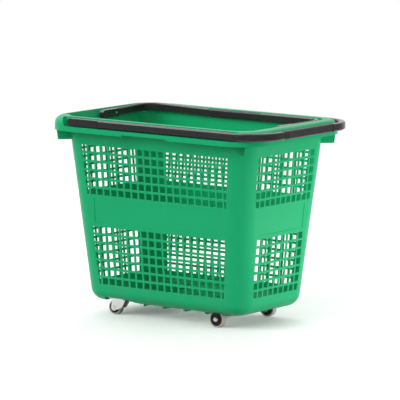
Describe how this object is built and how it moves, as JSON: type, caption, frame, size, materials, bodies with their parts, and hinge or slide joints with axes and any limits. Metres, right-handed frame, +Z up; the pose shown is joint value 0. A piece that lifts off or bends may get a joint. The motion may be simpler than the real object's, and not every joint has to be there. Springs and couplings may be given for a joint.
{
  "type": "rolling shopping basket",
  "caption": "Green mesh shopping basket on wheels, with a hinged pull handle lying on its rim, a folding carry handle, fixed wheels at one end and swivel casters at the other.",
  "frame": {"origin": "middle of the part's length and width on the floor, with both handles lying down", "axes": "+X along the tub towards the fixed wheels and the pull handle's crossbar, +Y towards the side that the carry handle lies on, +Z up"},
  "size_m": [0.554, 0.354, 0.4135],
  "materials": {
    "green_plastic": "moulded green plastic with a soft sheen",
    "charcoal_plastic": "satin charcoal plastic",
    "grip_plastic": "matte charcoal sleeve",
    "black_plastic": "satin black plastic",
    "fixed_tyre": "matte light grey rubber",
    "caster_tyre": "matte grey rubber",
    "zinc_steel": "bright zinc-plated steel"
  },
  "bodies": {
    "basket": {"basket_tub": "green_plastic", "mesh_panel_front_lower": "green_plastic", "mesh_panel_front_upper": "green_plastic", "mesh_panel_back_lower": "green_plastic", "mesh_panel_back_upper": "green_plastic", "mesh_panel_left_lower": "green_plastic", "mesh_panel_left_upper": "green_plastic", "mesh_panel_right_lower": "green_plastic", "mesh_panel_right_upper": "green_plastic", "pull_hinge_pins": "zinc_steel", "carry_hinge_pins": "zinc_steel", "fixed_axle": "zinc_steel", "fixed_axle_spacers": "zinc_steel", "fixed_axle_caps": "zinc_steel", "caster_plate_front": "zinc_steel", "caster_race_front": "zinc_steel", "caster_kingpin_front": "zinc_steel", "caster_plate_back": "zinc_steel", "caster_race_back": "zinc_steel", "caster_kingpin_back": "zinc_steel", "caster_screws": "zinc_steel"},
    "pull_handle": {"pull_bar": "charcoal_plastic", "pull_arm_fittings": "charcoal_plastic", "pull_grip": "grip_plastic"},
    "carry_handle": {"carry_bar": "charcoal_plastic", "carry_bends": "charcoal_plastic", "carry_arms": "charcoal_plastic", "carry_arm_fittings": "charcoal_plastic", "carry_grip": "grip_plastic", "carry_rivets": "zinc_steel"},
    "caster_front": {"caster_fork_front": "zinc_steel", "caster_axle_front": "zinc_steel"},
    "caster_wheel_front": {"caster_hub_front": "black_plastic", "caster_tyre_front": "caster_tyre"},
    "fixed_wheel_front": {"fixed_wheel_hub_front": "black_plastic", "fixed_wheel_tyre_front": "fixed_tyre"},
    "caster_back": {"caster_fork_back": "zinc_steel", "caster_axle_back": "zinc_steel"},
    "caster_wheel_back": {"caster_hub_back": "black_plastic", "caster_tyre_back": "caster_tyre"},
    "fixed_wheel_back": {"fixed_wheel_hub_back": "black_plastic", "fixed_wheel_tyre_back": "fixed_tyre"}
  },
  "joints": [
    {"name": "pull_handle_hinge", "type": "hinge", "parent": "basket", "child": "pull_handle", "pos_m": [-0.2045, 0, 0.404], "axis": [0, -1, 0], "range_deg": [0, 143]},
    {"name": "carry_handle_hinge", "type": "hinge", "parent": "basket", "child": "carry_handle", "pos_m": [-0.0125, 0, 0.4045], "axis": [1, 0, 0], "range_deg": [0, 180]},
    {"name": "caster_swivel_front", "type": "hinge", "parent": "basket", "child": "caster_front", "pos_m": [-0.1395, -0.085, 0.034], "axis": [0, 0, 1], "continuous": true},
    {"name": "caster_roll_front", "type": "hinge", "parent": "caster_front", "child": "caster_wheel_front", "pos_m": [-0.152, -0.085, 0.015], "axis": [0, 1, 0], "continuous": true},
    {"name": "fixed_wheel_roll_front", "type": "hinge", "parent": "basket", "child": "fixed_wheel_front", "pos_m": [0.111, -0.087, 0.0175], "axis": [0, 1, 0], "continuous": true},
    {"name": "caster_swivel_back", "type": "hinge", "parent": "basket", "child": "caster_back", "pos_m": [-0.1395, 0.085, 0.034], "axis": [0, 0, 1], "continuous": true},
    {"name": "caster_roll_back", "type": "hinge", "parent": "caster_back", "child": "caster_wheel_back", "pos_m": [-0.152, 0.085, 0.015], "axis": [0, 1, 0], "continuous": true},
    {"name": "fixed_wheel_roll_back", "type": "hinge", "parent": "basket", "child": "fixed_wheel_back", "pos_m": [0.111, 0.087, 0.0175], "axis": [0, 1, 0], "continuous": true}
  ]
}
